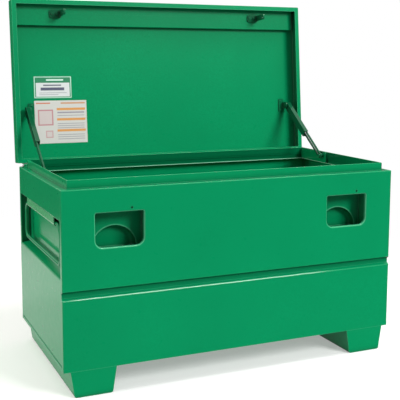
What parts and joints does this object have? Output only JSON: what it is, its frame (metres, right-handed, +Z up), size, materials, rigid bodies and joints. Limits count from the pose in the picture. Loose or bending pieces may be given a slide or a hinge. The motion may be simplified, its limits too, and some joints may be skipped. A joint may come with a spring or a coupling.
{
  "type": "jobsite storage box",
  "caption": "Steel jobsite chest on skids: hinged pan lid with stays and lock tongues, lock pockets in front, drop handles in recessed ends.",
  "frame": {"origin": "on the ground under the middle of the box as it stands open, half way along X and Y", "axes": "+X towards the right end seen from the front, +Y from the front towards the hinge side, +Z up"},
  "size_m": [1.2192, 0.7388, 1.279],
  "materials": {
    "shell_paint": "gloss green powder coat",
    "lid_paint": "gloss green powder coat",
    "fitting_paint": "gloss green powder coat, worn where it rubs",
    "plain_steel": "plain turned steel",
    "card_white": "plain vinyl card",
    "card_orange": "plain vinyl card with coloured bars"
  },
  "bodies": {
    "box": {"floor_pan": "shell_paint", "front_panel": "shell_paint", "hinge_body_leaf": "shell_paint", "hinge_body_rivets": "shell_paint", "hinge_pin": "plain_steel", "left_bracket_rivets": "shell_paint", "left_handle_strap": "shell_paint", "left_lock_housing": "shell_paint", "left_lock_scoop": "shell_paint", "left_recess_ends": "shell_paint", "left_side_panel": "shell_paint", "left_skid": "shell_paint", "left_skid_caps": "shell_paint", "left_stay_bracket": "shell_paint", "left_stay_stud": "fitting_paint", "rear_panel": "shell_paint", "right_bracket_rivets": "shell_paint", "right_handle_strap": "shell_paint", "right_lock_housing": "shell_paint", "right_lock_scoop": "shell_paint", "right_recess_ends": "shell_paint", "right_side_panel": "shell_paint", "right_skid": "shell_paint", "right_skid_caps": "shell_paint", "right_stay_bracket": "shell_paint", "right_stay_stud": "fitting_paint", "rim_frame": "shell_paint"},
    "lid": {"hinge_lid_leaf": "lid_paint", "hinge_lid_rivets": "lid_paint", "left_lid_bracket_rivets": "lid_paint", "left_lock_tongue": "fitting_paint", "left_stay_lid_bracket": "lid_paint", "left_stay_pivot": "fitting_paint", "left_tongue_bolts": "fitting_paint", "lid_pan": "lid_paint", "lid_stiffener": "lid_paint", "lower_card": "card_orange", "right_lid_bracket_rivets": "lid_paint", "right_lock_tongue": "fitting_paint", "right_stay_lid_bracket": "lid_paint", "right_stay_pivot": "fitting_paint", "right_tongue_bolts": "fitting_paint", "upper_card": "card_white"},
    "left_stay": {"left_stay_bar": "fitting_paint", "left_stay_channel": "fitting_paint"},
    "right_stay": {"right_stay_bar": "fitting_paint", "right_stay_channel": "fitting_paint"},
    "left_handle": {"left_handle": "fitting_paint"},
    "right_handle": {"right_handle": "fitting_paint"}
  },
  "joints": [
    {"name": "lid_hinge", "type": "hinge", "parent": "box", "child": "lid", "pos_m": [0, 0.25266, 0.66], "axis": [1, 0, 0], "range_deg": [0, 95.2]},
    {"name": "left_stay_hinge", "type": "hinge", "parent": "lid", "child": "left_stay", "pos_m": [-0.5596, 0.30257, 0.86398], "axis": [1, 0, 0], "range_deg": [-47.6, 0]},
    {"name": "right_stay_hinge", "type": "hinge", "parent": "lid", "child": "right_stay", "pos_m": [0.5596, 0.30257, 0.86398], "axis": [1, 0, 0], "range_deg": [-47.6, 0]},
    {"name": "left_handle_hinge", "type": "hinge", "parent": "box", "child": "left_handle", "pos_m": [-0.5966, -0.06464, 0.541], "axis": [0, 1, 0], "range_deg": [0, 90]},
    {"name": "right_handle_hinge", "type": "hinge", "parent": "box", "child": "right_handle", "pos_m": [0.5966, -0.06464, 0.541], "axis": [0, -1, 0], "range_deg": [0, 90]}
  ],
  "couplings": [
    {"joint": "left_stay_hinge", "follows": "lid_hinge", "ratio": -0.5},
    {"joint": "right_stay_hinge", "follows": "lid_hinge", "ratio": -0.5}
  ]
}
